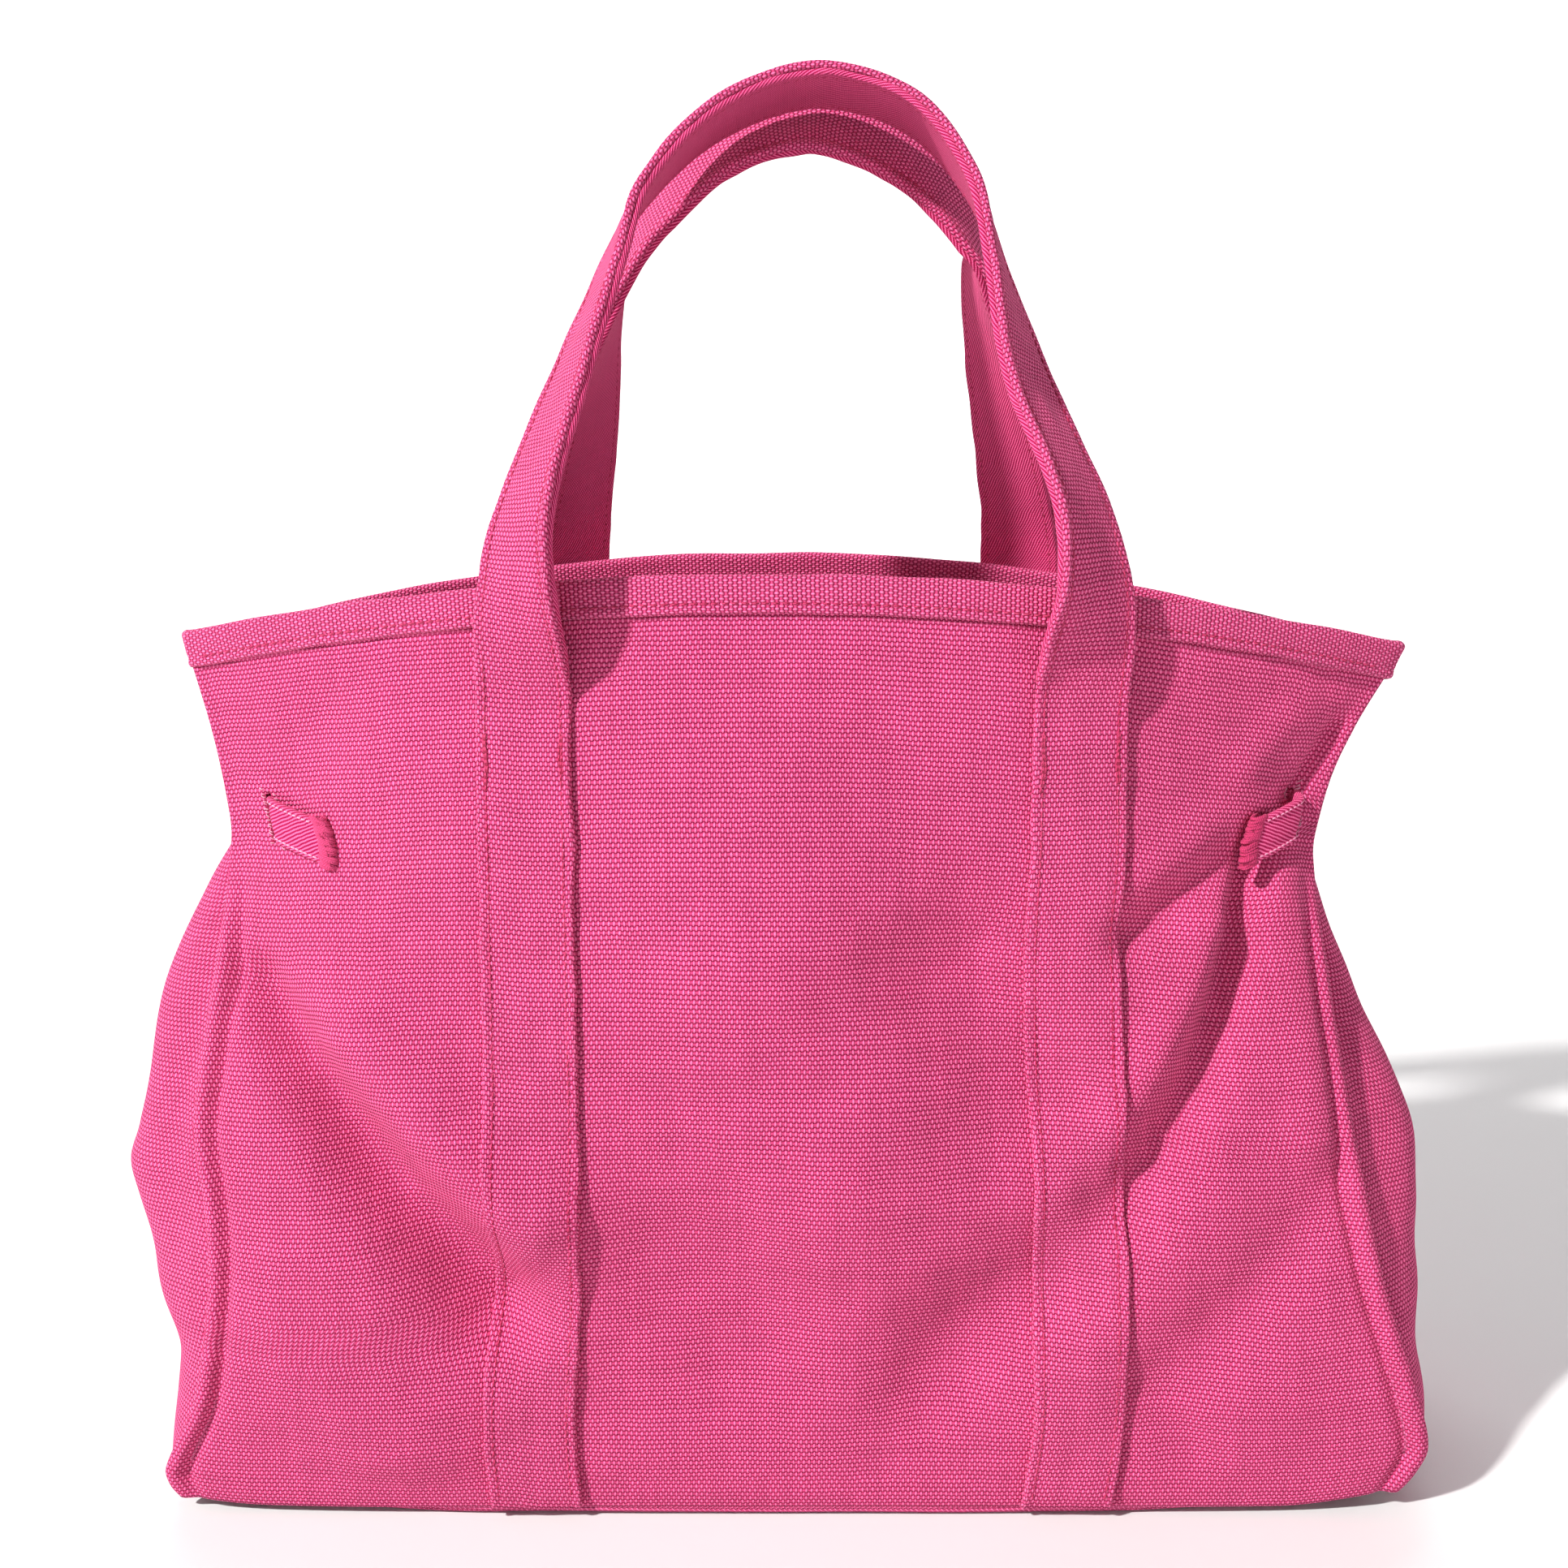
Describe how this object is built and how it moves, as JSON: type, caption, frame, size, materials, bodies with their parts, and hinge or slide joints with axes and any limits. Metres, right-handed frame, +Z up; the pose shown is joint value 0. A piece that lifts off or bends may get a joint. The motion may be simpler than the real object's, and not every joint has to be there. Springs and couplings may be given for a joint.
{
  "type": "beach bag",
  "caption": "Soft open beach tote in heavy canvas with two carrying handles, a bound rim, inward-folding sides and cinch straps that draw the mouth in.",
  "frame": {"origin": "on the ground under the middle of the base", "axes": "+Z up towards the mouth and handles, -Y towards the front panel, X across the bag's width"},
  "size_m": [0.512, 0.1952, 0.5402],
  "materials": {
    "canvas": "matte woven cotton",
    "strap_canvas": "matte woven cotton",
    "binding_canvas": "matte woven cotton",
    "thread": "matte twisted cotton thread"
  },
  "bodies": {
    "body": {"front_panel": "canvas", "back_panel": "canvas", "left_gusset": "canvas", "right_gusset": "canvas", "base_panel": "canvas", "front_rim_binding": "binding_canvas", "back_rim_binding": "binding_canvas", "left_rim_binding": "binding_canvas", "right_rim_binding": "binding_canvas", "front_left_strap": "strap_canvas", "front_right_strap": "strap_canvas", "back_left_strap": "strap_canvas", "back_right_strap": "strap_canvas", "left_cinch_strap": "strap_canvas", "right_cinch_strap": "strap_canvas", "front_left_seam_binding": "binding_canvas", "front_right_seam_binding": "binding_canvas", "back_left_seam_binding": "binding_canvas", "back_right_seam_binding": "binding_canvas", "front_base_seam_binding": "binding_canvas", "back_base_seam_binding": "binding_canvas", "left_base_seam_binding": "binding_canvas", "right_base_seam_binding": "binding_canvas", "front_strap_stitching": "thread", "back_strap_stitching": "thread", "rim_stitching": "thread", "front_bar_tacks": "thread", "back_bar_tacks": "thread", "slit_edgings": "thread"},
    "front_handle": {"front_handle_outer": "strap_canvas", "front_handle_lining": "strap_canvas", "front_handle_stitching": "thread"},
    "back_handle": {"back_handle_outer": "strap_canvas", "back_handle_lining": "strap_canvas", "back_handle_stitching": "thread"},
    "front_left_tab": {"front_left_tab": "strap_canvas", "front_left_tab_overcast": "thread"},
    "front_right_tab": {"front_right_tab": "strap_canvas", "front_right_tab_overcast": "thread"},
    "back_left_tab": {"back_left_tab": "strap_canvas", "back_left_tab_overcast": "thread"},
    "back_right_tab": {"back_right_tab": "strap_canvas", "back_right_tab_overcast": "thread"}
  },
  "joints": [
    {"name": "front_handle_swing", "type": "hinge", "parent": "body", "child": "front_handle", "pos_m": [0, -0.0785, 0.32], "axis": [1, 0, 0], "range_deg": [0, 140]},
    {"name": "back_handle_swing", "type": "hinge", "parent": "body", "child": "back_handle", "pos_m": [0, 0.0785, 0.32], "axis": [-1, 0, 0], "range_deg": [0, 140]},
    {"name": "front_right_tab_flap", "type": "hinge", "parent": "body", "child": "front_right_tab", "pos_m": [0.19384, -0.04834, 0.2637], "axis": [-0.1775, 0.0114, 0.9841], "range_deg": [0, 90]},
    {"name": "front_left_tab_flap", "type": "hinge", "parent": "body", "child": "front_left_tab", "pos_m": [-0.19384, -0.04834, 0.2637], "axis": [-0.1775, -0.0114, -0.9841], "range_deg": [0, 90]},
    {"name": "back_right_tab_flap", "type": "hinge", "parent": "body", "child": "back_right_tab", "pos_m": [0.19384, 0.04834, 0.2637], "axis": [0.1775, 0.0114, -0.9841], "range_deg": [0, 90]},
    {"name": "back_left_tab_flap", "type": "hinge", "parent": "body", "child": "back_left_tab", "pos_m": [-0.19384, 0.04834, 0.2637], "axis": [0.1775, -0.0114, 0.9841], "range_deg": [0, 90]}
  ]
}
